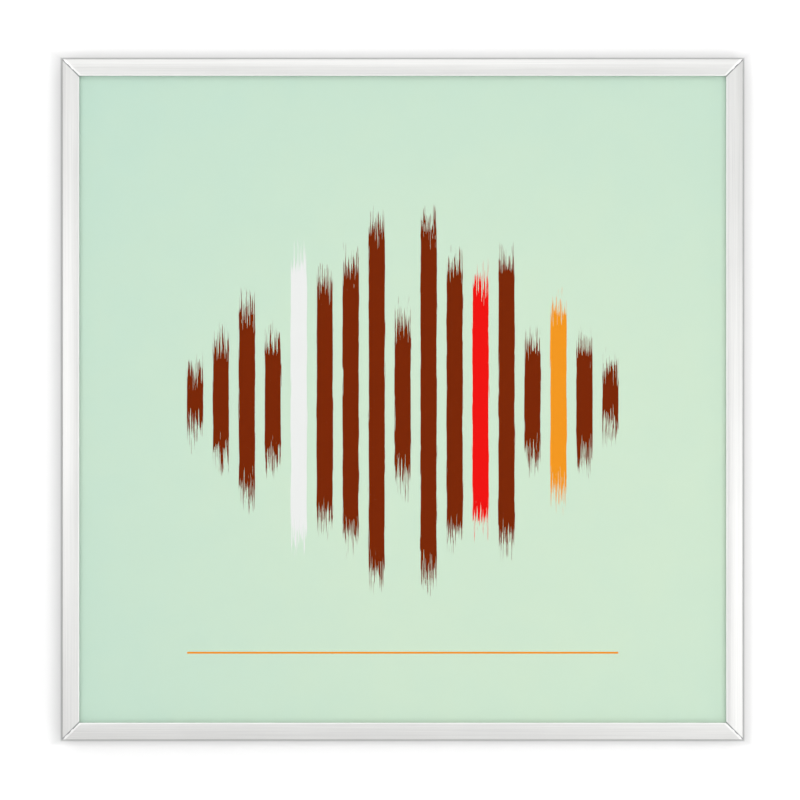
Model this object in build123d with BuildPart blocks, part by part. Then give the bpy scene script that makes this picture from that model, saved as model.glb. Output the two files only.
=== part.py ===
# A slim aluminium frame for a record sleeve, hung on a wall by its back board.
# X runs to the viewer's right, Z is up and the glass faces -Y. The origin is the middle of the whole frame.
import os
from math import sqrt

from build123d import *

# The printed sheet that the frame is made for, and what is stacked with it
sheet_size = 317.5
sheet_thickness = 0.4
glass_thickness = 1.2
glass_arris = 0.3
glass_play = 0.05  # air in front of the glass and behind it
pad_thickness = 3.9  # as thick as a sleeve with its record
board_thickness = 3.0
board_trim = 0.25  # the pad and the board are this much smaller than the sheet, a side

# The rails' section
wall_thickness = 1.3
lip_thickness = 1.4
lip_overlap = 3.15  # what the lip covers of the sheet, a side
crown_drop = 0.8  # how far the face's outer edge lies behind its crown
crown_place_share = 0.7  # of the face's width, from its outer edge
outer_edge_radius = 0.4
inner_edge_radius = 0.45
step_thickness = 1.5  # the lip's thick root, which keeps the glass centred
guide_thickness = 1.0  # the rib that keeps the board centred
rib_thickness = 1.2  # the two ribs that form the channel
return_thickness = 0.8
return_height = 1.0
sheet_clearance = 0.85  # from the sheet's edge to the ribs
mitre_gap = 0.2

# The corner angles in the channel, and their grub screws
angle_thickness = 1.8
angle_height = 6.2
angle_leg = 27.0  # from the frame's outer corner
angle_bend_radius = 0.2
angle_side_clearance = 0.1
angle_end_clearance = 0.15
screw_radius = 1.45
screw_clearance = 0.05
screw_length = 3.0
screw_end_distance = 7.0
screw_tip_chamfer = 0.4
screw_slot_width = 0.5
screw_slot_depth = 0.8

# The turn buttons on the board, and their rivets
button_thickness = 0.7
button_lift = 0.1  # from the board to the button
button_place_share = 0.55  # of half the frame, from the middle of a side
pivot_inset = 13.0  # from the ribs' edge
hub_radius = 5.0
tongue_width = 8.0
tongue_tip_clearance = 0.4  # from the tongue's tip to the rail's wall
tongue_rib_clearance = 0.3
tail_width = 7.0
tail_clearance = 2.0  # from the ribs' edge when the button is turned round
finger_rise = 3.4
finger_bend_radius = 0.6
finger_corner_radius = 1.8
pivot_radius = 1.5
pivot_clearance = 0.05
pivot_head_radius = 3.0
pivot_head_height = 0.9
pivot_head_gap = 0.05

# The hanger on the board, and its rivets
hanger_length = 45.0
hanger_height = 11.0
hanger_thickness = 0.8
hanger_drop = 24.0  # from the board's top edge to the hanger's middle
hanger_foot = 8.5
hanger_ramp = 2.0
hanger_rise = 1.7
hanger_bend_radius = 0.5
tooth_count = 7
tooth_depth = 2.2
tooth_margin = 1.0
hanger_rivet_radius = 1.3
hanger_rivet_clearance = 0.05
hanger_head_radius = 2.6
hanger_head_height = 0.8

# The rivets' flanges, sunk in the board's front
flange_thickness = 0.5
flange_clearance = 0.1

overrun = 1.0  # what a cut runs past the piece that it cuts

# The frame's plan
rib_reach = wall_thickness + 2 * angle_side_clearance + angle_thickness + return_thickness
frame_size = sheet_size + 2 * (sheet_clearance + rib_reach)
half = frame_size / 2
face_width = rib_reach + sheet_clearance + lip_overlap
board_size = sheet_size - 2 * board_trim

# The face is one arc, whose crown touches the frame's front plane
crown_place = crown_place_share * face_width
crown_radius = (crown_place**2 + crown_drop**2) / (2 * crown_drop)
inner_drop = crown_radius - sqrt(crown_radius**2 - (face_width - crown_place) ** 2)

# Depths behind the crown of the face
glass_front = lip_thickness + glass_play
sheet_front = glass_front + glass_thickness + glass_play
pad_front = sheet_front + sheet_thickness
board_front = pad_front + pad_thickness
board_back = board_front + board_thickness
button_front = board_back + button_lift
button_back = button_front + button_thickness
tab_rib_front = button_back + tongue_rib_clearance
channel_front = tab_rib_front + rib_thickness
channel_back = channel_front + angle_height + 2 * angle_end_clearance
depth = channel_back + rib_thickness

up, down, right, left = Vector(0, 0, 1), Vector(0, 0, -1), Vector(1, 0, 0), Vector(-1, 0, 0)
rearward = Vector(0, 1, 0)

button_sides = {
    "button_top_left": (up, left),
    "button_top_right": (up, right),
    "button_bottom_left": (down, left),
    "button_bottom_right": (down, right),
    "button_left_upper": (left, up),
    "button_left_lower": (left, down),
    "button_right_upper": (right, up),
    "button_right_lower": (right, down),
}
corners = {
    "corner_angle_upper_left": (left, up),
    "corner_angle_upper_right": (right, up),
    "corner_angle_lower_left": (left, down),
    "corner_angle_lower_right": (right, down),
}

# Where the rivets stand, as X and Z
pivot_distance = half - rib_reach - pivot_inset
pivots = {
    name: outward * pivot_distance + along * (button_place_share * half)
    for name, (outward, along) in button_sides.items()
}
pivot_places = [(pivot.X, pivot.Z) for pivot in pivots.values()]
hanger_z = board_size / 2 - hanger_drop
hanger_rivet_x = (hanger_length - hanger_foot) / 2
hanger_rivet_places = [(-hanger_rivet_x, hanger_z), (hanger_rivet_x, hanger_z)]


def depth_plane(behind_face):
    # A plane across the frame, whose X and Y are the frame's X and Z and whose normal points to the front
    return Plane.XZ.offset(depth / 2 - behind_face)


def depth_shift(behind_face):
    return rearward * (behind_face - depth / 2)


def keep(piece, name):
    piece.part.label = name
    export_step(piece.part, f"parts/{name}.step")


def make_rail(outward):
    # The section's X runs from the outer face inwards and its Y from the crown to the back
    inward = outward * -1
    along = inward.cross(rearward)
    section_plane = Plane(origin=outward * half + depth_shift(0), x_dir=inward, z_dir=along)
    with BuildPart() as rail:
        with BuildSketch(section_plane) as section:
            with BuildLine():
                crown = ThreePointArc((0, crown_drop), (crown_place, 0), (face_width, inner_drop))
                Polyline(crown @ 1, (face_width, lip_thickness), (0, lip_thickness), crown @ 0)
            make_face()
            guide_front = board_front + (board_thickness - guide_thickness) / 2
            bands = [
                (lip_thickness, step_thickness, rib_reach),
                (guide_front, guide_thickness, rib_reach),
                (tab_rib_front, rib_thickness, rib_reach),
                (channel_back, rib_thickness, rib_reach),
                (lip_thickness, depth - lip_thickness, wall_thickness),
            ]
            for front, thickness, reach in bands:
                with Locations((0, front)):
                    Rectangle(reach, thickness, align=(Align.MIN, Align.MIN))
            for front in (channel_front, channel_back - return_height):
                with Locations((rib_reach, front)):
                    Rectangle(return_thickness, return_height, align=(Align.MAX, Align.MIN))
            outer_corner = section.vertices().sort_by_distance((0, crown_drop))[0]
            fillet(outer_corner, radius=outer_edge_radius)
            inner_corner = section.vertices().sort_by_distance((face_width, inner_drop))[0]
            fillet(inner_corner, radius=inner_edge_radius)
        extrude(amount=half, both=True)
        # The mitres leave the quarter of the frame between its two diagonals
        with BuildSketch(Plane(origin=(0, 0, 0), x_dir=along, z_dir=along.cross(outward))):
            apex = mitre_gap / sqrt(2)
            with BuildLine():
                Polyline((0, apex), (half, half + apex), (-half, half + apex), close=True)
            make_face()
        extrude(amount=depth / 2, both=True, mode=Mode.INTERSECT)
    return rail


def make_sheet(front, thickness, size):
    with BuildPart() as sheet:
        with BuildSketch(depth_plane(front)):
            Rectangle(size, size)
        extrude(amount=-thickness)
    return sheet


def make_glass():
    with BuildPart() as glass:
        with BuildSketch(depth_plane(glass_front)):
            Rectangle(sheet_size, sheet_size)
        extrude(amount=-glass_thickness)
        layers = glass.edges().group_by(Axis.Y)
        chamfer(layers[0] + layers[-1], length=glass_arris)
    return glass


def make_board():
    front = depth_plane(board_front)
    with BuildPart() as board:
        with BuildSketch(front):
            Rectangle(board_size, board_size)
        extrude(amount=-board_thickness)
        with Locations(*[front * Location(place) for place in pivot_places]):
            CounterBoreHole(
                pivot_radius + pivot_clearance, pivot_head_radius + flange_clearance, flange_thickness
            )
        with Locations(*[front * Location(place) for place in hanger_rivet_places]):
            CounterBoreHole(
                hanger_rivet_radius + hanger_rivet_clearance,
                hanger_head_radius + flange_clearance,
                flange_thickness,
            )
    return board


def make_rivets(places, shank_radius, head_radius, head_front, head_height):
    # A flange in the board's front, a shank through it and a domed head behind what it holds
    layers = [
        (board_front, flange_thickness, head_radius),
        (board_front, head_front - board_front, shank_radius),
        (head_front, head_height, head_radius),
    ]
    with BuildPart() as rivets:
        for front, length, radius in layers:
            with BuildSketch(depth_plane(front)):
                with Locations(*places):
                    Circle(radius)
            extrude(amount=-length)
        fillet(rivets.edges().group_by(Axis.Y)[-1], radius=head_height * 2 / 3)
    return rivets


def screw_planes(across, along):
    # The two screws at a corner start on the inner faces of the rails' walls and point inwards
    reach = half - wall_thickness
    place = half - angle_leg + screw_end_distance
    middle = depth_shift((channel_front + channel_back) / 2)
    return [
        Plane(origin=along * reach + across * place + middle, x_dir=rearward, z_dir=along * -1),
        Plane(origin=across * reach + along * place + middle, x_dir=rearward, z_dir=across * -1),
    ]


def make_angle(across, along):
    start = wall_thickness + angle_side_clearance
    middle = depth_shift((channel_front + channel_back) / 2)
    corner = Plane(origin=(across + along) * half + middle, x_dir=across * -1, z_dir=across.cross(along))
    with BuildPart() as angle:
        with BuildSketch(corner):
            with BuildLine():
                FilletPolyline(
                    (angle_leg, start),
                    (start, start),
                    (start, angle_leg),
                    radius=angle_bend_radius + angle_thickness,
                )
                offset(amount=angle_thickness, side=Side.RIGHT)
            make_face()
        extrude(amount=angle_height / 2, both=True)
        for plane in screw_planes(across, along):
            with BuildSketch(plane):
                Circle(screw_radius + screw_clearance)
            extrude(amount=rib_reach, mode=Mode.SUBTRACT)
    return angle


def make_screws():
    with BuildPart() as screws:
        for across, along in corners.values():
            for plane in screw_planes(across, along):
                with BuildSketch(plane):
                    Circle(screw_radius)
                extrude(amount=screw_length)
                rims = screws.edges(Select.LAST).filter_by(GeomType.CIRCLE)
                chamfer(rims.sort_by_distance(plane.origin)[0], length=screw_tip_chamfer)
                with BuildSketch(plane.offset(screw_length)):
                    Rectangle(screw_slot_width, 2 * (screw_radius + overrun))
                extrude(amount=-screw_slot_depth, mode=Mode.SUBTRACT)
    return screws


def make_button(outward, pivot):
    # The tongue points to the rail, and the tail ends in a lip for a finger
    seat = Plane(origin=pivot + depth_shift(button_front), x_dir=outward, z_dir=rearward)
    side = Plane(origin=seat.origin, x_dir=outward, z_dir=outward.cross(rearward))
    tongue_length = rib_reach + pivot_inset - wall_thickness - tongue_tip_clearance
    tip_start = sqrt(tongue_length**2 - (tongue_width / 2) ** 2)
    tail_length = pivot_inset - tail_clearance
    with BuildPart() as button:
        with BuildSketch(seat):
            Circle(hub_radius)
            with BuildLine():
                tip = ThreePointArc(
                    (tip_start, -tongue_width / 2), (tongue_length, 0), (tip_start, tongue_width / 2)
                )
                Polyline(tip @ 1, (0, tongue_width / 2), (0, -tongue_width / 2), tip @ 0)
            make_face()
        extrude(amount=button_thickness)
        with BuildSketch(side):
            with BuildLine():
                FilletPolyline(
                    (0, 0),
                    (-tail_length, 0),
                    (-tail_length, finger_rise),
                    radius=finger_bend_radius + button_thickness,
                )
                offset(amount=button_thickness, side=Side.RIGHT)
            make_face()
        extrude(amount=tail_width / 2, both=True)
        with BuildSketch(seat):
            Circle(pivot_radius + pivot_clearance)
        extrude(amount=button_thickness, mode=Mode.SUBTRACT)
        lip_edges = button.edges().filter_by(Axis((0, 0, 0), outward)).group_by(Axis.Y)[-1]
        fillet(lip_edges, radius=finger_corner_radius)
    return button


def make_hanger():
    foot_end = hanger_length / 2
    ramp_start = foot_end - hanger_foot
    ramp_end = ramp_start - hanger_ramp
    board_y = depth_shift(board_back).Y
    tooth_span = 2 * (ramp_end - tooth_margin)
    half_pitch = tooth_span / (2 * tooth_count)
    bottom = hanger_z - hanger_height / 2
    with BuildPart() as hanger:
        with BuildSketch(Plane.XY.offset(hanger_z)):
            with BuildLine():
                FilletPolyline(
                    (-foot_end, board_y),
                    (-ramp_start, board_y),
                    (-ramp_end, board_y + hanger_rise),
                    (ramp_end, board_y + hanger_rise),
                    (ramp_start, board_y),
                    (foot_end, board_y),
                    radius=hanger_bend_radius,
                )
                offset(amount=hanger_thickness, side=Side.LEFT)
            make_face()
        extrude(amount=hanger_height / 2, both=True)
        # The notches between the teeth, each of which can sit on a nail
        with BuildSketch(depth_plane(board_back)):
            zigzag = [
                (-tooth_span / 2 + i * half_pitch, bottom + (i % 2) * tooth_depth)
                for i in range(2 * tooth_count + 1)
            ]
            below = [(tooth_span / 2, bottom - overrun), (-tooth_span / 2, bottom - overrun)]
            with BuildLine():
                Polyline(*zigzag, *below, close=True)
            make_face()
        extrude(amount=-(hanger_rise + hanger_thickness + overrun), mode=Mode.SUBTRACT)
        with BuildSketch(depth_plane(board_back)):
            with Locations(*hanger_rivet_places):
                Circle(hanger_rivet_radius + hanger_rivet_clearance)
        extrude(amount=-hanger_thickness, mode=Mode.SUBTRACT)
    return hanger


os.makedirs("parts", exist_ok=True)

keep(make_rail(up), "rail_top")
keep(make_rail(down), "rail_bottom")
keep(make_rail(left), "rail_left")
keep(make_rail(right), "rail_right")
keep(make_glass(), "glass")
keep(make_sheet(sheet_front, sheet_thickness, sheet_size), "print_sheet")
keep(make_sheet(pad_front, pad_thickness, board_size), "filler_pad")
keep(make_board(), "back_board")
for name, (across, along) in corners.items():
    keep(make_angle(across, along), name)
keep(make_screws(), "corner_screws")
for name, (outward, along) in button_sides.items():
    keep(make_button(outward, pivots[name]), name)
pivot_head_front = button_back + pivot_head_gap
keep(
    make_rivets(pivot_places, pivot_radius, pivot_head_radius, pivot_head_front, pivot_head_height),
    "button_rivets",
)
keep(make_hanger(), "sawtooth_hanger")
hanger_head_front = board_back + hanger_thickness
keep(
    make_rivets(
        hanger_rivet_places, hanger_rivet_radius, hanger_head_radius, hanger_head_front, hanger_head_height
    ),
    "hanger_rivets",
)
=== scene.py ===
import math

import bmesh
import bpy
from mathutils import Matrix, Vector


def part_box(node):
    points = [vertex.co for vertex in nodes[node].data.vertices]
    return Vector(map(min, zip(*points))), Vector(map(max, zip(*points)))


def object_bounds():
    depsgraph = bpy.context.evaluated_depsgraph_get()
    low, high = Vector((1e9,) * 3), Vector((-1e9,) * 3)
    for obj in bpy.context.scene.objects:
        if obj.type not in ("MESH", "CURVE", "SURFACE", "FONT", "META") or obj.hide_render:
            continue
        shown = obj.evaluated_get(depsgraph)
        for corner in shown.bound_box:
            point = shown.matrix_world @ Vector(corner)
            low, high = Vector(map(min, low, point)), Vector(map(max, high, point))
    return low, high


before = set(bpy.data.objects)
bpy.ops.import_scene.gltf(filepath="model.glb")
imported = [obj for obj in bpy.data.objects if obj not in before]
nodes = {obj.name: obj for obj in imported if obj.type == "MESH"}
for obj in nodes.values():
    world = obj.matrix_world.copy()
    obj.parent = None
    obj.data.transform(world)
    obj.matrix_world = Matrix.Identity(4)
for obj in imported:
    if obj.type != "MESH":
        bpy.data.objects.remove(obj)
cadLow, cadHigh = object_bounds()
frameSize = cadHigh.x - cadLow.x
print("the packed frame is in place, mm wide:", round(frameSize * 1000, 1))


# Small helpers for node trees

def addNode(tree, kind, name, **values):
    node = tree.nodes.new(kind)
    node.name = node.label = name
    for key, value in values.items():
        setattr(node, key, value)
    return node


def feed(tree, socket, value):
    # the value is another node's socket, a number or a colour
    if hasattr(value, "is_output"):
        tree.links.new(value, socket)
    elif isinstance(value, (int, float)):
        socket.default_value = value
    else:
        socket.default_value = (*value, 1)


def addMath(tree, operation, *values, name="", clamp=False):
    node = addNode(tree, "ShaderNodeMath", name or operation.lower(), operation=operation, use_clamp=clamp)
    for socket, value in zip(node.inputs, values):
        feed(tree, socket, value)
    return node.outputs[0]


def addMix(tree, factor, low, high, name="mix"):
    node = addNode(tree, "ShaderNodeMix", name, data_type="RGBA")
    for key, value in (("Factor", factor), ("A", low), ("B", high)):
        feed(tree, node.inputs[key], value)
    return [output for output in node.outputs if output.type == "RGBA"][0]


def addRange(tree, value, fromLow, fromHigh, toLow, toHigh, name="range"):
    node = addNode(tree, "ShaderNodeMapRange", name)
    tree.links.new(value, node.inputs["Value"])
    for key, number in zip(("From Min", "From Max", "To Min", "To Max"), (fromLow, fromHigh, toLow, toHigh)):
        node.inputs[key].default_value = number
    return node.outputs["Result"]


noiseReach = (0.3, 0.7)  # where nearly all of a noise texture's values lie


def rgb(red, green, blue):
    # screen levels of 0 to 255 as linear light
    return tuple(
        level / 12.92 if level <= 0.04045 else ((level + 0.055) / 1.055) ** 2.4
        for level in (red / 255, green / 255, blue / 255)
    )


# Shared effects, as node groups that give out masks

def newGroup(name, inputs, output):
    group = bpy.data.node_groups.new(name, "ShaderNodeTree")
    for label, kind, value in inputs:
        socket = group.interface.new_socket(name=label, in_out="INPUT", socket_type=kind)
        if value is not None:
            socket.default_value = value
    group.interface.new_socket(name=output, in_out="OUTPUT", socket_type="NodeSocketFloat")
    start = addNode(group, "NodeGroupInput", "in")
    end = addNode(group, "NodeGroupOutput", "out")
    return group, start, end


grainLook = {"detail": 2, "roughness": 0.6}


def makeGrainGroup():
    # Fine lines that run along X: long in X and thin across it
    group, start, end = newGroup(
        "lineGrain",
        [
            ("Vector", "NodeSocketVector", None),
            ("Lines per metre", "NodeSocketFloat", 4000),
            ("Line length", "NodeSocketFloat", 0.04),
        ],
        "Mask",
    )
    along = addMath(group, "DIVIDE", 1, start.outputs["Line length"], name="along")
    scale = addNode(group, "ShaderNodeCombineXYZ", "scale")
    group.links.new(along, scale.inputs["X"])
    for axis in "YZ":
        group.links.new(start.outputs["Lines per metre"], scale.inputs[axis])
    stretch = addNode(group, "ShaderNodeVectorMath", "stretch", operation="MULTIPLY")
    group.links.new(start.outputs["Vector"], stretch.inputs[0])
    group.links.new(scale.outputs[0], stretch.inputs[1])
    lines = addNode(group, "ShaderNodeTexNoise", "lines")
    lines.inputs["Scale"].default_value = 1
    lines.inputs["Detail"].default_value = grainLook["detail"]
    lines.inputs["Roughness"].default_value = grainLook["roughness"]
    group.links.new(stretch.outputs[0], lines.inputs["Vector"])
    group.links.new(lines.outputs["Fac"], end.inputs["Mask"])
    return group


mottleRoughness = 0.55


def makeMottleGroup():
    # Soft clouds and patches
    group, start, end = newGroup(
        "mottle",
        [
            ("Vector", "NodeSocketVector", None),
            ("Patches per metre", "NodeSocketFloat", 40),
            ("Detail", "NodeSocketFloat", 4),
            ("Low", "NodeSocketFloat", 0.35),
            ("High", "NodeSocketFloat", 0.65),
        ],
        "Mask",
    )
    patches = addNode(group, "ShaderNodeTexNoise", "patches")
    patches.inputs["Roughness"].default_value = mottleRoughness
    group.links.new(start.outputs["Vector"], patches.inputs["Vector"])
    group.links.new(start.outputs["Patches per metre"], patches.inputs["Scale"])
    group.links.new(start.outputs["Detail"], patches.inputs["Detail"])
    spread = addNode(group, "ShaderNodeMapRange", "spread")
    group.links.new(patches.outputs["Fac"], spread.inputs["Value"])
    group.links.new(start.outputs["Low"], spread.inputs["From Min"])
    group.links.new(start.outputs["High"], spread.inputs["From Max"])
    group.links.new(spread.outputs["Result"], end.inputs["Mask"])
    return group


def makeStrandGroup():
    # The same lines, turned in the plane of the board, for fibres and for the marks of a brush or a die
    group, start, end = newGroup(
        "strands",
        [
            ("Vector", "NodeSocketVector", None),
            ("Angle", "NodeSocketFloat", 0),
            ("Lines per metre", "NodeSocketFloat", 1500),
            ("Line length", "NodeSocketFloat", 0.005),
        ],
        "Mask",
    )
    turn = addNode(group, "ShaderNodeVectorRotate", "turn", rotation_type="Y_AXIS")
    group.links.new(start.outputs["Vector"], turn.inputs["Vector"])
    group.links.new(start.outputs["Angle"], turn.inputs["Angle"])
    lines = addNode(group, "ShaderNodeGroup", "lines", node_tree=grainGroup)
    group.links.new(turn.outputs[0], lines.inputs["Vector"])
    for key in ("Lines per metre", "Line length"):
        group.links.new(start.outputs[key], lines.inputs[key])
    group.links.new(lines.outputs["Mask"], end.inputs["Mask"])
    return group


edgeWearLook = {
    "samples": 4,
    "alike": (0.8, 0.98),  # how alike the rounded and the plain normals are at full wear and at none
    "patchesPerMetre": 600,
    "patchReach": (0.3, 0.6),
    "least": 0.3,
}


def makeEdgeWearGroup():
    # 1 on a sharp outer edge, and 0 on the faces beside it
    look = edgeWearLook
    group, start, end = newGroup(
        "edgeWear",
        [("Vector", "NodeSocketVector", None), ("Radius", "NodeSocketFloat", 0.0003)],
        "Mask",
    )
    rounded = addNode(group, "ShaderNodeBevel", "rounded", samples=look["samples"])
    group.links.new(start.outputs["Radius"], rounded.inputs["Radius"])
    face = addNode(group, "ShaderNodeNewGeometry", "face")
    alike = addNode(group, "ShaderNodeVectorMath", "alike", operation="DOT_PRODUCT")
    group.links.new(rounded.outputs[0], alike.inputs[0])
    group.links.new(face.outputs["Normal"], alike.inputs[1])
    edge = addRange(group, alike.outputs["Value"], *look["alike"], 1, 0)
    rubbed = addNode(group, "ShaderNodeTexNoise", "rubbed")
    rubbed.inputs["Scale"].default_value = look["patchesPerMetre"]
    group.links.new(start.outputs["Vector"], rubbed.inputs["Vector"])
    uneven = addRange(group, rubbed.outputs["Fac"], *look["patchReach"], look["least"], 1)
    group.links.new(addMath(group, "MULTIPLY", edge, uneven), end.inputs["Mask"])
    return group


grainGroup = makeGrainGroup()
mottleGroup = makeMottleGroup()
strandGroup = makeStrandGroup()
edgeWearGroup = makeEdgeWearGroup()


def useGroup(tree, group, vector, name, **values):
    node = addNode(tree, "ShaderNodeGroup", name, node_tree=group)
    tree.links.new(vector, node.inputs["Vector"])
    for key, value in values.items():
        node.inputs[key.replace("_", " ")].default_value = value
    return node.outputs["Mask"]


def newMaterial(name):
    material = bpy.data.materials.new(name)
    material.use_nodes = True
    tree = material.node_tree
    tree.nodes.clear()
    output = addNode(tree, "ShaderNodeOutputMaterial", "output")
    shader = addNode(tree, "ShaderNodeBsdfPrincipled", "surface")
    tree.links.new(shader.outputs[0], output.inputs["Surface"])
    place = addNode(tree, "ShaderNodeTexCoord", "place").outputs["Object"]
    return material, tree, shader, place


def addRays(tree):
    # the light path, and 1 where metal or glass sends the ray
    rays = addNode(tree, "ShaderNodeLightPath", "rays")
    shining = addMath(tree, "MAXIMUM", rays.outputs["Is Glossy Ray"], rays.outputs["Is Transmission Ray"])
    return rays, shining


def letThrough(tree, shader, passing):
    # the surface is clear where the mask is 1
    clear = addNode(tree, "ShaderNodeBsdfTransparent", "clear")
    pick = addNode(tree, "ShaderNodeMixShader", "pick")
    tree.links.new(passing, pick.inputs["Fac"])
    tree.links.new(shader.outputs[0], pick.inputs[1])
    tree.links.new(clear.outputs[0], pick.inputs[2])
    tree.links.new(pick.outputs[0], tree.nodes["output"].inputs["Surface"])


def addBump(tree, shader, height, distance):
    bump = addNode(tree, "ShaderNodeBump", "relief")
    bump.inputs["Distance"].default_value = distance
    tree.links.new(height, bump.inputs["Height"])
    tree.links.new(bump.outputs["Normal"], shader.inputs["Normal"])


def dress(names, material):
    for name in names:
        piece = nodes[name]
        piece.data.materials.clear()
        piece.data.materials.append(material)


# The rails: satin anodised aluminium, with the saw's and the die's fine lines along each rail

railLook = {
    "color": rgb(238, 238, 236),
    "darkColor": rgb(214, 214, 213),
    "linesPerMetre": 4200,
    "lineLength": 0.05,
    "streaksPerMetre": 700,
    "streakLength": 0.3,
    "roughLow": 0.38,
    "roughHigh": 0.5,
    "relief": 0.000012,
    "patchesPerMetre": 14,
    "cloudShare": 0.3,  # and the rest is streaks
    "unevenShare": 0.5,  # streaks with clouds, and the rest is fine lines
    # the colours of the painted highlights and of the painted shadow at the joints
    "highlightColor": rgb(253, 253, 252),
    "shadowColor": rgb(150, 151, 153),
    # a painted highlight along the lip's edge
    "edgeHighlight": (0.0003, 0.0007),  # from the lip's edge
    # a painted highlight from the joint on the rails that lie across
    "mitreHighlight": (0.0006, 0.0012),  # from the joint, on the rails that lie across
    "mitreShadow": (0.0003, 0.0006),  # and a painted shadow on the upright ones
}
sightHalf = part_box("rail_top")[0].z  # half the opening that the rails leave


def makeAluminium(name, upright):
    look = railLook
    material, tree, shader, place = newMaterial(name)
    turn = addNode(tree, "ShaderNodeMapping", "alongRail")
    if upright:
        turn.inputs["Rotation"].default_value = (0, math.pi / 2, 0)
    tree.links.new(place, turn.inputs["Vector"])
    lines = useGroup(
        tree, grainGroup, turn.outputs[0], "grain",
        Lines_per_metre=look["linesPerMetre"], Line_length=look["lineLength"],
    )
    streaks = useGroup(
        tree, grainGroup, turn.outputs[0], "streaks",
        Lines_per_metre=look["streaksPerMetre"], Line_length=look["streakLength"],
    )
    cloud = useGroup(tree, mottleGroup, place, "cloud", Patches_per_metre=look["patchesPerMetre"])
    soft = addRange(tree, streaks, *noiseReach, 0, 1, name="soft")
    uneven = addMix(tree, look["cloudShare"], soft, cloud, name="uneven")
    fine = addRange(tree, lines, *noiseReach, 0, 1, name="fine")
    shade = addMix(tree, look["unevenShare"], fine, uneven, name="shade")
    satin = addMix(tree, shade, look["darkColor"], look["color"], name="satin")

    # a painted highlight runs along the lip's edge, and each joint shows a painted highlight on the rails
    # that lie across and a painted shadow on the upright ones
    axes = addNode(tree, "ShaderNodeSeparateXYZ", "axes")
    tree.links.new(place, axes.inputs[0])
    sideways, height = (addMath(tree, "ABSOLUTE", axes.outputs[key]) for key in "XZ")
    fromEdge = addMath(tree, "SUBTRACT", addMath(tree, "MAXIMUM", sideways, height), sightHalf)
    atEdge = addRange(tree, fromEdge, *look["edgeHighlight"], 1, 0, name="edgeHighlight")
    satin = addMix(tree, atEdge, satin, look["highlightColor"], name="withEdge")
    acrossJoint = addMath(tree, "ABSOLUTE", addMath(tree, "SUBTRACT", sideways, height))
    fromJoint = addMath(tree, "DIVIDE", acrossJoint, math.sqrt(2), name="fromJoint")
    # the rails that lie across get a painted highlight at the joint, the upright ones a painted shadow
    reach, color = ("mitreShadow", "shadowColor") if upright else ("mitreHighlight", "highlightColor")
    atJoint = addRange(tree, fromJoint, *look[reach], 1, 0, name=reach)
    satin = addMix(tree, atJoint, satin, look[color], name="withJoint")
    tree.links.new(satin, shader.inputs["Base Color"])
    rough = addRange(tree, lines, *noiseReach, look["roughLow"], look["roughHigh"])
    tree.links.new(rough, shader.inputs["Roughness"])
    shader.inputs["Metallic"].default_value = 1
    addBump(tree, shader, lines, look["relief"])
    return material


# the two rail materials differ in the grain's way, and in the joint's painted highlight against its painted
# shadow
dress(["rail_top", "rail_bottom"], makeAluminium("aluminiumAcross", False))
dress(["rail_left", "rail_right"], makeAluminium("aluminiumUpright", True))
print("rails dressed")


# The glass: clear, with the faintest wipe marks, and open to the light that falls on the sheet

glassLook = {"ior": 1.5, "roughLow": 0.0, "roughHigh": 0.015, "wipesPerMetre": 9}


def makeGlass():
    look = glassLook
    material, tree, shader, place = newMaterial("clearGlass")
    wipes = useGroup(tree, mottleGroup, place, "wipes", Patches_per_metre=look["wipesPerMetre"])
    rough = addRange(tree, wipes, 0, 1, look["roughLow"], look["roughHigh"])
    tree.links.new(rough, shader.inputs["Roughness"])
    shader.inputs["Base Color"].default_value = (1, 1, 1, 1)
    shader.inputs["Transmission Weight"].default_value = 1
    shader.inputs["IOR"].default_value = look["ior"]
    rays = addNode(tree, "ShaderNodeLightPath", "rays")
    passing = addMath(tree, "MAXIMUM", rays.outputs["Is Shadow Ray"], rays.outputs["Is Diffuse Ray"])
    letThrough(tree, shader, passing)
    return material


dress(["glass"], makeGlass())
print("glass dressed")


# The printed sheet: pale mint, with a row of brushed bars of uneven height

sheetLook = {
    "edgeColor": rgb(197, 227, 210),
    "middleColor": rgb(210, 233, 209),
    "middleAt": (0.05, 0, -0.04),
    "middleReach": (0.09, 0.27),
    "barColor": rgb(122, 38, 0),
    "redColor": rgb(240, 16, 12),
    "whiteColor": rgb(238, 240, 238),
    "orangeColor": rgb(243, 152, 32),
    "barPitch": 0.0125,
    "barWidth": 0.0078,
    "barsEachSide": 8,
    "barRagged": 0.0016,  # how much a bar's width changes along its sides
    "colorBars": {3: "redColor", -4: "whiteColor", 6: "orangeColor"},  # counted from the middle bar
    "tallest": 0.1,
    "shortest": 0.016,
    "waveStep": 1.9,
    "waveShare": 0.6,
    "fade": 0.03,
    "dryShare": 0.8,  # of a bar's fading end that the bristles can leave bare
    "bristlesPerMetre": 2600,
    "bristleLength": 0.02,
    "lineHalfWidth": 0.00045,
    "lineDrop": 0.122,
    "lineOverhang": 0.3,  # of the bars' pitch, past the last bar's middle
    "cloudShare": 0.15,
    "cloudsPerMetre": 60,
    "cloudDetail": 6,
    "roughness": 0.6,
    "shine": 0.03,
    "fibresPerMetre": 2500,
    "fibreDetail": 3,
    "fibreRelief": 0.00001,
}


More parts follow.
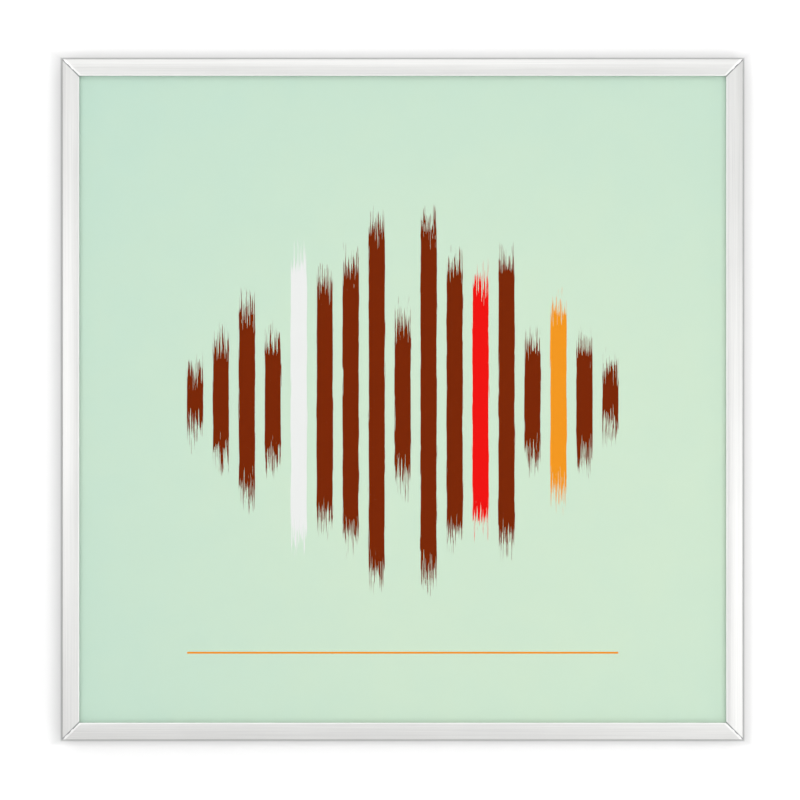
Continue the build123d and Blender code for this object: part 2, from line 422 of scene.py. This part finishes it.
def makeSheetPrint():
    look = sheetLook
    material, tree, shader, place = newMaterial("printedCard")
    axes = addNode(tree, "ShaderNodeSeparateXYZ", "axes")
    tree.links.new(place, axes.inputs[0])
    across, height = axes.outputs["X"], axes.outputs["Z"]

    # which bar a point is on, and how far from that bar's middle
    steps = addMath(tree, "DIVIDE", across, look["barPitch"])
    bar = addMath(tree, "ROUND", steps)
    halfStep = 0.5  # between two bars' numbers
    offset = addMath(tree, "MULTIPLY", addMath(tree, "SUBTRACT", steps, bar), look["barPitch"])

    # each bar's half height, from two waves of its number
    wave = addMath(tree, "ABSOLUTE", addMath(tree, "SINE", addMath(tree, "MULTIPLY", bar, look["waveStep"])))
    wave = addMath(tree, "MULTIPLY_ADD", wave, look["waveShare"], 1 - look["waveShare"])
    slow = addMath(tree, "COSINE", addMath(tree, "MULTIPLY", bar, math.pi / (2 * look["barsEachSide"] + 2)))
    swing = addMath(tree, "MULTIPLY", wave, slow)
    top = addMath(tree, "MULTIPLY_ADD", swing, look["tallest"] - look["shortest"], look["shortest"])

    # bristle marks, which break up the stroke towards its ends
    turn = addNode(tree, "ShaderNodeMapping", "alongStroke")
    turn.inputs["Rotation"].default_value = (0, math.pi / 2, 0)
    tree.links.new(place, turn.inputs["Vector"])
    bristles = useGroup(
        tree, grainGroup, turn.outputs[0], "bristles",
        Lines_per_metre=look["bristlesPerMetre"], Line_length=look["bristleLength"],
    )
    reach = addMath(tree, "SUBTRACT", top, addMath(tree, "ABSOLUTE", height))
    wet = addMath(tree, "DIVIDE", reach, look["fade"], clamp=True)
    dry = addRange(tree, bristles, *noiseReach, 0, 1, name="dry")
    covered = addMath(tree, "GREATER_THAN", wet, addMath(tree, "MULTIPLY", dry, look["dryShare"]))
    reached = addMath(tree, "GREATER_THAN", reach, 0)
    narrow = (look["barWidth"] - look["barRagged"]) / 2
    ragged = addMath(tree, "MULTIPLY_ADD", bristles, look["barRagged"], narrow)
    inside = addMath(tree, "LESS_THAN", addMath(tree, "ABSOLUTE", offset), ragged)
    counted = addMath(tree, "LESS_THAN", addMath(tree, "ABSOLUTE", bar), look["barsEachSide"] + halfStep)
    stroke = addMath(tree, "MULTIPLY", covered, reached)
    ink = addMath(tree, "MULTIPLY", stroke, addMath(tree, "MULTIPLY", inside, counted))

    # the paper, a little warmer and lighter towards its middle
    distance = addNode(tree, "ShaderNodeVectorMath", "fromMiddle", operation="DISTANCE")
    tree.links.new(place, distance.inputs[0])
    distance.inputs[1].default_value = look["middleAt"]
    middle = addRange(tree, distance.outputs["Value"], *look["middleReach"], 1, 0, name="middle")
    cloud = useGroup(
        tree, mottleGroup, place, "cloud",
        Patches_per_metre=look["cloudsPerMetre"], Detail=look["cloudDetail"],
    )
    middle = addMath(tree, "MULTIPLY", middle, 1 - look["cloudShare"])
    tone = addMath(tree, "MULTIPLY_ADD", cloud, look["cloudShare"], middle)
    paper = addMix(tree, tone, look["edgeColor"], look["middleColor"], name="paper")

    # the inks: brown, with a red, an off-white and an orange bar
    inkColor = look["barColor"]
    for number, name in look["colorBars"].items():
        same = addMath(tree, "COMPARE", bar, number, halfStep)
        inkColor = addMix(tree, same, inkColor, look[name], name=name)
    printed = addMix(tree, ink, paper, inkColor, name="printed")

    # a thin rule under the bars
    fromRule = addMath(tree, "ABSOLUTE", addMath(tree, "ADD", height, look["lineDrop"]))
    onRule = addMath(tree, "LESS_THAN", fromRule, look["lineHalfWidth"])
    ruleEnd = look["barPitch"] * (look["barsEachSide"] + look["lineOverhang"])
    beside = addMath(tree, "LESS_THAN", addMath(tree, "ABSOLUTE", across), ruleEnd)
    onRule = addMath(tree, "MULTIPLY", onRule, beside)
    printed = addMix(tree, onRule, printed, look["orangeColor"], name="rule")
    tree.links.new(printed, shader.inputs["Base Color"])
    shader.inputs["Roughness"].default_value = look["roughness"]
    shader.inputs["Specular IOR Level"].default_value = look["shine"]
    fibres = useGroup(
        tree, mottleGroup, place, "fibres",
        Patches_per_metre=look["fibresPerMetre"], Detail=look["fibreDetail"],
    )
    addBump(tree, shader, fibres, look["fibreRelief"])
    return material


dress(["print_sheet"], makeSheetPrint())
print("sheet dressed")


# The corrugated pad behind the sheet: brown card over even flutes

padLook = {
    "color": rgb(190, 154, 112),
    "darkColor": rgb(160, 124, 84),
    "flutePitch": 0.0062,
    # how strongly the flutes' painted shade shows
    "flutePaintedShade": 0.35,
    "fluteRelief": 0.0001,
    "fibresPerMetre": 1400,
    "fibreLength": 0.006,
    "fibreAngle": 0.4,
    "fibreShare": 0.4,
    "patchesPerMetre": 25,
    "patchTones": (0.3, 0.8),
    "roughness": 0.85,
}


def makeCard():
    look = padLook
    material, tree, shader, place = newMaterial("corrugatedCard")
    axes = addNode(tree, "ShaderNodeSeparateXYZ", "axes")
    tree.links.new(place, axes.inputs[0])
    turns = addMath(tree, "MULTIPLY", axes.outputs["X"], 2 * math.pi / look["flutePitch"])
    flutes = addRange(tree, addMath(tree, "SINE", turns), -1, 1, 0, 1, name="flutes")
    fibres = useGroup(
        tree, strandGroup, place, "fibres",
        Angle=look["fibreAngle"], Lines_per_metre=look["fibresPerMetre"], Line_length=look["fibreLength"],
    )
    cloud = useGroup(tree, mottleGroup, place, "cloud", Patches_per_metre=look["patchesPerMetre"])
    patches = addMix(tree, cloud, *([part] * 3 for part in look["patchTones"]), name="patches")
    # painted shade: lighter on the flutes' ridges and darker in the hollows between them
    tone = addMix(tree, look["flutePaintedShade"], patches, flutes, name="tone")
    strands = addRange(tree, fibres, *noiseReach, 0, 1, name="strands")
    tone = addMix(tree, look["fibreShare"], tone, strands, name="withFibres")
    tree.links.new(addMix(tree, tone, look["darkColor"], look["color"]), shader.inputs["Base Color"])
    shader.inputs["Roughness"].default_value = look["roughness"]
    addBump(tree, shader, flutes, look["fluteRelief"])
    return material


dress(["filler_pad"], makeCard())
print("pad dressed")


# The back board: smooth pressed hardboard, with long fibres lying every way

boardLook = {
    "color": rgb(143, 105, 70),
    "darkColor": rgb(104, 72, 46),
    "lightColor": rgb(181, 143, 102),
    "angles": (0.35, 1.4, 2.5),
    "fibresPerMetre": 2200,
    "fibreLength": 0.0035,
    "paleReach": (0.6, 0.78),
    "paleShare": 0.7,
    "deepReach": (0.24, 0.42),
    "deepShare": 0.8,
    "patchesPerMetre": 18,
    "patchDetail": 6,
    "patchShare": (0.1, 0.4),
    "roughLow": 0.42,
    "roughHigh": 0.62,
    "shine": 0.35,
    "relief": 0.00002,
}


def makeHardboard():
    look = boardLook
    material, tree, shader, place = newMaterial("hardboard")
    # light fibres on top of dark ones, each set turned its own way
    fibres = [
        useGroup(
            tree, strandGroup, place, f"fibres{number}",
            Angle=angle, Lines_per_metre=look["fibresPerMetre"], Line_length=look["fibreLength"],
        )
        for number, angle in enumerate(look["angles"])
    ]
    highest = addMath(tree, "MAXIMUM", addMath(tree, "MAXIMUM", fibres[0], fibres[1]), fibres[2])
    lowest = addMath(tree, "MINIMUM", addMath(tree, "MINIMUM", fibres[0], fibres[1]), fibres[2])
    pale = addRange(tree, highest, *look["paleReach"], 0, look["paleShare"], name="pale")
    deep = addRange(tree, lowest, *look["deepReach"], look["deepShare"], 0, name="deep")
    cloud = useGroup(
        tree, mottleGroup, place, "cloud",
        Patches_per_metre=look["patchesPerMetre"], Detail=look["patchDetail"],
    )
    patches = addRange(tree, cloud, 0, 1, *look["patchShare"], name="patches")
    ground = addMix(tree, patches, look["color"], look["darkColor"], name="ground")
    ground = addMix(tree, deep, ground, look["darkColor"], name="withDeep")
    ground = addMix(tree, pale, ground, look["lightColor"], name="withPale")
    tree.links.new(ground, shader.inputs["Base Color"])
    rough = addRange(tree, cloud, 0, 1, look["roughLow"], look["roughHigh"])
    tree.links.new(rough, shader.inputs["Roughness"])
    shader.inputs["Specular IOR Level"].default_value = look["shine"]
    addBump(tree, shader, addMath(tree, "SUBTRACT", highest, lowest), look["relief"])
    return material


dress(["back_board"], makeHardboard())
print("board dressed")


# The metal fittings: stamped, turned and plated, with their own colour and brush each

fittingLook = {
    "angles": {
        "nodes": [name for name in nodes if name.startswith("corner_angle")],
        "color": rgb(186, 190, 194), "darkColor": rgb(150, 156, 162), "tint": rgb(190, 184, 160),
        "turn": math.pi / 4, "linesPerMetre": 2400, "lineLength": 0.012,
        "roughLow": 0.3, "roughHigh": 0.48, "patchesPerMetre": 160,
    },
    "screws": {
        "nodes": ["corner_screws"],
        "color": rgb(150, 152, 156), "darkColor": rgb(108, 110, 114), "tint": rgb(140, 134, 122),
        "turn": 0.2, "linesPerMetre": 5000, "lineLength": 0.002,
        "roughLow": 0.25, "roughHigh": 0.42, "patchesPerMetre": 500,
    },
    "buttons": {
        "nodes": [name for name in nodes if name.startswith("button_") and name != "button_rivets"],
        "color": rgb(200, 198, 191), "darkColor": rgb(166, 163, 156), "tint": rgb(196, 186, 166),
        "turn": 0.12, "linesPerMetre": 5200, "lineLength": 0.016,
        "roughLow": 0.2, "roughHigh": 0.36, "patchesPerMetre": 120,
    },
    "rivets": {
        "nodes": ["button_rivets", "hanger_rivets"],
        "color": rgb(206, 206, 205), "darkColor": rgb(170, 170, 170), "tint": rgb(196, 196, 198),
        "turn": 0.9, "linesPerMetre": 3800, "lineLength": 0.001,
        "roughLow": 0.24, "roughHigh": 0.4, "patchesPerMetre": 420,
    },
    "hanger": {
        "nodes": ["sawtooth_hanger"],
        "color": rgb(192, 194, 198), "darkColor": rgb(152, 156, 162), "tint": rgb(198, 188, 158),
        "turn": 0, "linesPerMetre": 4200, "lineLength": 0.03,
        "roughLow": 0.26, "roughHigh": 0.44, "patchesPerMetre": 90,
    },
}
wearLook = {
    "radius": 0.0003,
    "color": rgb(222, 222, 220),
    "rough": 0.2,
    "relief": 0.000008,
    "scratchTurn": 1,  # from the brush's lines
    "linesPerScratch": 3,
    "scratchLength": 0.009,
    "scratchReach": (0.7, 0.76),
    "scratchShare": 0.5,
    "platingDetail": 5,
    "platingShare": 0.35,
    "patchesPerBloom": 4,
    "bloomShare": 0.45,
}


def makePlatedMetal(name, look):
    wear = wearLook
    material, tree, shader, place = newMaterial(name)
    lines = useGroup(
        tree, strandGroup, place, "lines",
        Angle=look["turn"], Lines_per_metre=look["linesPerMetre"], Line_length=look["lineLength"],
    )
    plating = useGroup(
        tree, mottleGroup, place, "plating",
        Patches_per_metre=look["patchesPerMetre"], Detail=wear["platingDetail"],
    )
    bloom = useGroup(
        tree, mottleGroup, place, "bloom", Patches_per_metre=look["patchesPerMetre"] / wear["patchesPerBloom"]
    )
    scratches = useGroup(
        tree, strandGroup, place, "scratches",
        Angle=look["turn"] + wear["scratchTurn"],
        Lines_per_metre=look["linesPerMetre"] / wear["linesPerScratch"],
        Line_length=wear["scratchLength"],
    )
    scratched = addRange(tree, scratches, *wear["scratchReach"], 0, wear["scratchShare"], name="scratched")
    worn = useGroup(tree, edgeWearGroup, place, "wear", Radius=wear["radius"])
    bright = addMath(tree, "MAXIMUM", worn, scratched, name="bright")
    brushed = addRange(tree, lines, *noiseReach, 0, 1, name="brush")
    shade = addMix(tree, brushed, look["darkColor"], look["color"], name="brushed")
    plated = addMath(tree, "MULTIPLY", plating, wear["platingShare"])
    shade = addMix(tree, plated, shade, look["darkColor"], name="plated")
    bloomed = addMath(tree, "MULTIPLY", bloom, wear["bloomShare"])
    shade = addMix(tree, bloomed, shade, look["tint"], name="tinted")
    tree.links.new(addMix(tree, bright, shade, wear["color"], name="worn"), shader.inputs["Base Color"])
    rough = addRange(tree, plating, 0, 1, look["roughLow"], look["roughHigh"])
    polish = wear["rough"] - look["roughHigh"] / 2
    rough = addMath(tree, "MULTIPLY_ADD", bright, polish, rough, name="polished")
    tree.links.new(rough, shader.inputs["Roughness"])
    shader.inputs["Metallic"].default_value = 1
    addBump(tree, shader, lines, wear["relief"])
    return material


for name, look in fittingLook.items():
    dress(look["nodes"], makePlatedMetal(f"{name}Metal", look))
print("fittings dressed")


# The stage: a pale wall that shows from the front only, open behind the frame, and a floor below

stageLook = {
    "wallHalf": 1.2,
    "wallGap": 0.0002,
    "wallColor": (0.82, 0.82, 0.82),
    # a painted contact shadow, darker where the wall meets the frame
    "wallContactShadowColor": (0.46, 0.46, 0.46),
    "wallContactShadow": (0.0011, 0.002),
    "wallGlow": 0.24,
    # the glow at the frame and its reach out from it: the fade is a painted soft shadow
    "wallGlowByFrame": 0.0,
    "wallPaintedShadowReach": (0.0005, 0.0095),
    "wallSides": {  # axis, way out, and how much narrower the painted contact shadow and the painted soft shadow are there
        "left": ("X", -1, 1, 1.05),
        "right": ("X", 1, 1.15, 1.35),
        "top": ("Z", 1, 1.2, 1.5),
        "bottom": ("Z", -1, 1.1, 2.1),
    },
    "floorDrop": 1.1,
    "floorRadius": 4.6,
    "floorSides": 96,
    "floorColor": (0.85, 0.85, 0.85),
    "floorCloud": 0.985,  # how dark its darkest cloud is
    "floorCloudsPerMetre": 3,
    "floorGlow": 0.6,
    "floorGlowBelow": 0.12,
    "floorGlowFrom": 1.3,
    "wallMirrored": 0.5,  # the share of the glow that metal and glass show
    "floorMirrored": 1,
    "rimMirrored": 0.08,  # so that the glass mirrors no edge of the floor
    "roughness": 0.9,
}


def paintWall(tree, place):
    # The glow fades towards the frame, as a painted soft shadow over the wall's own shadow, and a painted
    # contact shadow darkens the wall where they touch
    look = stageLook
    axes = addNode(tree, "ShaderNodeSeparateXYZ", "axes")
    tree.links.new(place, axes.inputs[0])
    near, far = None, None
    for side, (axis, way, *narrower) in look["wallSides"].items():
        outward = addMath(tree, "SUBTRACT", addMath(tree, "MULTIPLY", axes.outputs[axis], way), frameSize / 2)
        line, shadow = (addMath(tree, "MULTIPLY", outward, share, name=side) for share in narrower)
        near = addMath(tree, "MAXIMUM", near, line) if near else line
        far = addMath(tree, "MAXIMUM", far, shadow) if far else shadow
    # the glow fades towards the frame, a painted soft shadow over the wall's own shadow
    glow = addRange(tree, far, *look["wallPaintedShadowReach"], look["wallGlowByFrame"], look["wallGlow"], name="fade")
    # the painted contact shadow along the frame's edge
    clear = addRange(tree, near, *look["wallContactShadow"], 0, 1, name="clear")
    color = addMix(tree, clear, look["wallContactShadowColor"], look["wallColor"], name="paint")
    return color, glow, look["wallMirrored"]


def paintFloor(tree, place):
    # The floor's glow grows towards its rim, and the share of it that metal and glass show falls
    look = stageLook
    away = addNode(tree, "ShaderNodeVectorMath", "away", operation="LENGTH")
    tree.links.new(place, away.inputs[0])
    outward = (away.outputs["Value"], look["floorGlowFrom"], look["floorRadius"])
    glow = addRange(tree, *outward, look["floorGlowBelow"], look["floorGlow"], name="fade")
    share = addRange(tree, *outward, look["floorMirrored"], look["rimMirrored"], name="share")
    cloud = useGroup(tree, mottleGroup, place, "cloud", Patches_per_metre=look["floorCloudsPerMetre"])
    deeper = tuple(look["floorCloud"] * part for part in look["floorColor"])
    return addMix(tree, cloud, deeper, look["floorColor"], name="paint"), glow, share


def makeStageMaterial(name, paint):
    # The glow is for the camera, metal and glass only, and from behind the stage can't be seen
    material, tree, shader, place = newMaterial(name)
    color, fade, share = paint(tree, place)
    tree.links.new(color, shader.inputs["Base Color"])
    shader.inputs["Roughness"].default_value = stageLook["roughness"]
    shader.inputs["Specular IOR Level"].default_value = 0
    rays, shining = addRays(tree)
    shining = addMath(tree, "MULTIPLY", shining, share)
    seen = addMath(tree, "MAXIMUM", rays.outputs["Is Camera Ray"], shining)
    shader.inputs["Emission Color"].default_value = (1, 1, 1, 1)
    tree.links.new(addMath(tree, "MULTIPLY", seen, fade, name="glow"), shader.inputs["Emission Strength"])
    face = addNode(tree, "ShaderNodeNewGeometry", "face")
    letThrough(tree, shader, face.outputs["Backfacing"])
    return material


def addStage(name, shape, material):
    mesh = bpy.data.meshes.new(name)
    shape.to_mesh(mesh)
    shape.free()
    mesh.materials.append(material)
    piece = bpy.data.objects.new(name, mesh)
    bpy.context.scene.collection.objects.link(piece)


def makeWall():
    look = stageLook
    shape = bmesh.new()
    bmesh.ops.create_grid(shape, x_segments=1, y_segments=1, size=look["wallHalf"])
    hole = frameSize / 2 - look["wallGap"]
    inner = bmesh.ops.inset_region(
        shape, faces=shape.faces[:], thickness=look["wallHalf"] - hole,
        use_boundary=True, use_even_offset=True,
    )
    middle = [f for f in shape.faces if f not in inner["faces"]]
    bmesh.ops.delete(shape, geom=middle, context="FACES")
    bmesh.ops.rotate(shape, cent=(0, 0, 0), matrix=Matrix.Rotation(math.pi / 2, 3, "X"), verts=shape.verts)
    bmesh.ops.translate(shape, vec=(0, cadHigh.y + look["wallGap"], 0), verts=shape.verts)
    addStage("wall", shape, makeStageMaterial("wallPaint", paintWall))


def makeFloor():
    look = stageLook
    shape = bmesh.new()
    bmesh.ops.create_circle(shape, cap_ends=True, segments=look["floorSides"], radius=look["floorRadius"])
    bmesh.ops.translate(shape, vec=(0, 0, cadLow.z - look["floorDrop"]), verts=shape.verts)
    addStage("floor", shape, makeStageMaterial("floorPaint", paintFloor))


makeWall()
makeFloor()
print("stage set")


# Soft studio light: broad lamps on both sides, one above, one low at the right and two behind,
# and two plain fill lamps, at the front and the rear, that metal and glass don't mirror

lampLook = {
    "leftLamp": {"at": (-0.39, -0.48, 0.01), "wide": 0.46, "high": 0.24, "power": 0.56, "mirrored": True},
    "rightLamp": {"at": (0.39, -0.52, -0.1), "wide": 0.46, "high": 0.28, "power": 0.75, "mirrored": True},
    "topLamp": {"at": (0, -0.8, 0.8), "wide": 1.3, "high": 0.7, "power": 3.8, "mirrored": True},
    "lowLamp": {"at": (0.5, -0.65, -0.75), "wide": 0.6, "high": 0.5, "power": 1.6, "mirrored": True},
    "frontLamp": {"at": (0, -2.2, 0.1), "wide": 1.2, "high": 1.2, "power": 9.5, "mirrored": False},
    "rearLeftLamp": {"at": (-1.5, 1.5, 0.5), "wide": 1.4, "high": 1.2, "power": 2.6, "mirrored": True},
    "rearRightLamp": {"at": (1.4, 1.6, 0.8), "wide": 1.4, "high": 1.2, "power": 3.2, "mirrored": True},
    "rearLamp": {"at": (0.3, 2.3, 0.4), "wide": 1.2, "high": 1.2, "power": 16, "mirrored": False},
}
lampFade = {"middle": 0.5, "reach": (0.15, 0.5)}  # shares of a lamp's width, the reach from its middle
worldLook = {
    "light": 0.7,  # what falls on matt surfaces
    "shown": 1.0,  # what the camera sees
    "mirrored": 0.73,  # what metal and glass see at the sides, above and below
    "rearMirrored": 0.66,
    "rearReach": (-1, 0.2),  # the cosine of the angle from the line of sight, at the rear and at the sides
    "screenMirrored": 1.2,  # the round white screen that the lens looks through
    "screenReach": (24, 14),  # degrees from the line of sight, where it fades and where it is full
    "cardMirrored": 0.02,  # the dark card round the lens, which keeps the glass clear
    "cardReach": (4.6, 3.4),
}


def softenLamp(lamp):
    # The light fades towards the lamp's rim, so that the glass mirrors no hard edge
    lamp.use_nodes = True
    tree = lamp.node_tree
    across = addNode(tree, "ShaderNodeSeparateXYZ", "across")
    tree.links.new(addNode(tree, "ShaderNodeTexCoord", "place").outputs["UV"], across.inputs[0])
    shares = []
    for key in "XY":
        offset = addMath(tree, "SUBTRACT", across.outputs[key], lampFade["middle"])
        share = addRange(tree, addMath(tree, "ABSOLUTE", offset), *lampFade["reach"], 1, 0, name="fade")
        share.node.interpolation_type = "SMOOTHSTEP"
        shares.append(share)
    tree.links.new(addMath(tree, "MULTIPLY", *shares), tree.nodes["Emission"].inputs["Strength"])


def makeLamps():
    for name, look in lampLook.items():
        lamp = bpy.data.lights.new(name, "AREA")
        lamp.shape, lamp.size, lamp.size_y = "RECTANGLE", look["wide"], look["high"]
        lamp.energy = look["power"]
        if look["mirrored"]:
            softenLamp(lamp)
        piece = bpy.data.objects.new(name, lamp)
        piece.location = look["at"]
        piece.rotation_euler = (-Vector(look["at"])).to_track_quat("-Z", "Y").to_euler()
        piece.visible_glossy = piece.visible_transmission = look["mirrored"]
        bpy.context.scene.collection.objects.link(piece)


def makeWorld():
    look = worldLook
    world = bpy.data.worlds.new("studio")
    world.use_nodes = True
    tree = world.node_tree
    tree.nodes.clear()
    way = addNode(tree, "ShaderNodeTexCoord", "way").outputs["Generated"]
    toFront = addNode(tree, "ShaderNodeVectorMath", "toFront", operation="DOT_PRODUCT")
    toFront.inputs[1].default_value = (0, -1, 0)
    tree.links.new(way, toFront.inputs[0])
    front = toFront.outputs["Value"]
    mirrored = addRange(tree, front, *look["rearReach"], look["rearMirrored"], look["mirrored"], name="sides")
    for part in ("screen", "card"):
        reach = [math.cos(math.radians(angle)) for angle in look[f"{part}Reach"]]
        spot = addRange(tree, front, *reach, 0, 1, name=part)
        mirrored = addMix(tree, spot, mirrored, [look[f"{part}Mirrored"]] * 3, name=f"with {part}")

    rays, shining = addRays(tree)
    strength = addMix(tree, shining, [look["light"]] * 3, mirrored, name="forMatter")
    strength = addMix(tree, rays.outputs["Is Camera Ray"], strength, [look["shown"]] * 3, name="forCamera")
    sky = addNode(tree, "ShaderNodeBackground", "sky")
    tree.links.new(strength, sky.inputs["Color"])
    output = addNode(tree, "ShaderNodeOutputWorld", "output")
    tree.links.new(sky.outputs[0], output.inputs["Surface"])
    bpy.context.scene.world = world


makeLamps()
makeWorld()
print("lamps lit")


# The camera looks straight at the glass from far off, as in the photograph

cameraLook = {
    "lens": 400,
    "sensor": 36,
    "picture": 800,  # pixels from side to side
    "frameWide": 680.5,
    "middleX": 402.7,
    "middleY": 399.3,
}


def makeCamera():
    look = cameraLook
    camera = bpy.data.cameras.new("camera")
    camera.lens, camera.sensor_width = look["lens"], look["sensor"]
    pixel = frameSize / look["frameWide"]
    away = pixel * look["picture"] * look["lens"] / look["sensor"]
    piece = bpy.data.objects.new("camera", camera)
    middle = look["picture"] / 2
    sideways, height = (middle - look["middleX"]) * pixel, (look["middleY"] - middle) * pixel
    piece.location = (sideways, cadLow.y - away, height)
    piece.rotation_euler = (math.pi / 2, 0, 0)
    bpy.context.scene.collection.objects.link(piece)
    bpy.context.scene.camera = piece


makeCamera()
bpy.context.scene.view_settings.view_transform = "Standard"
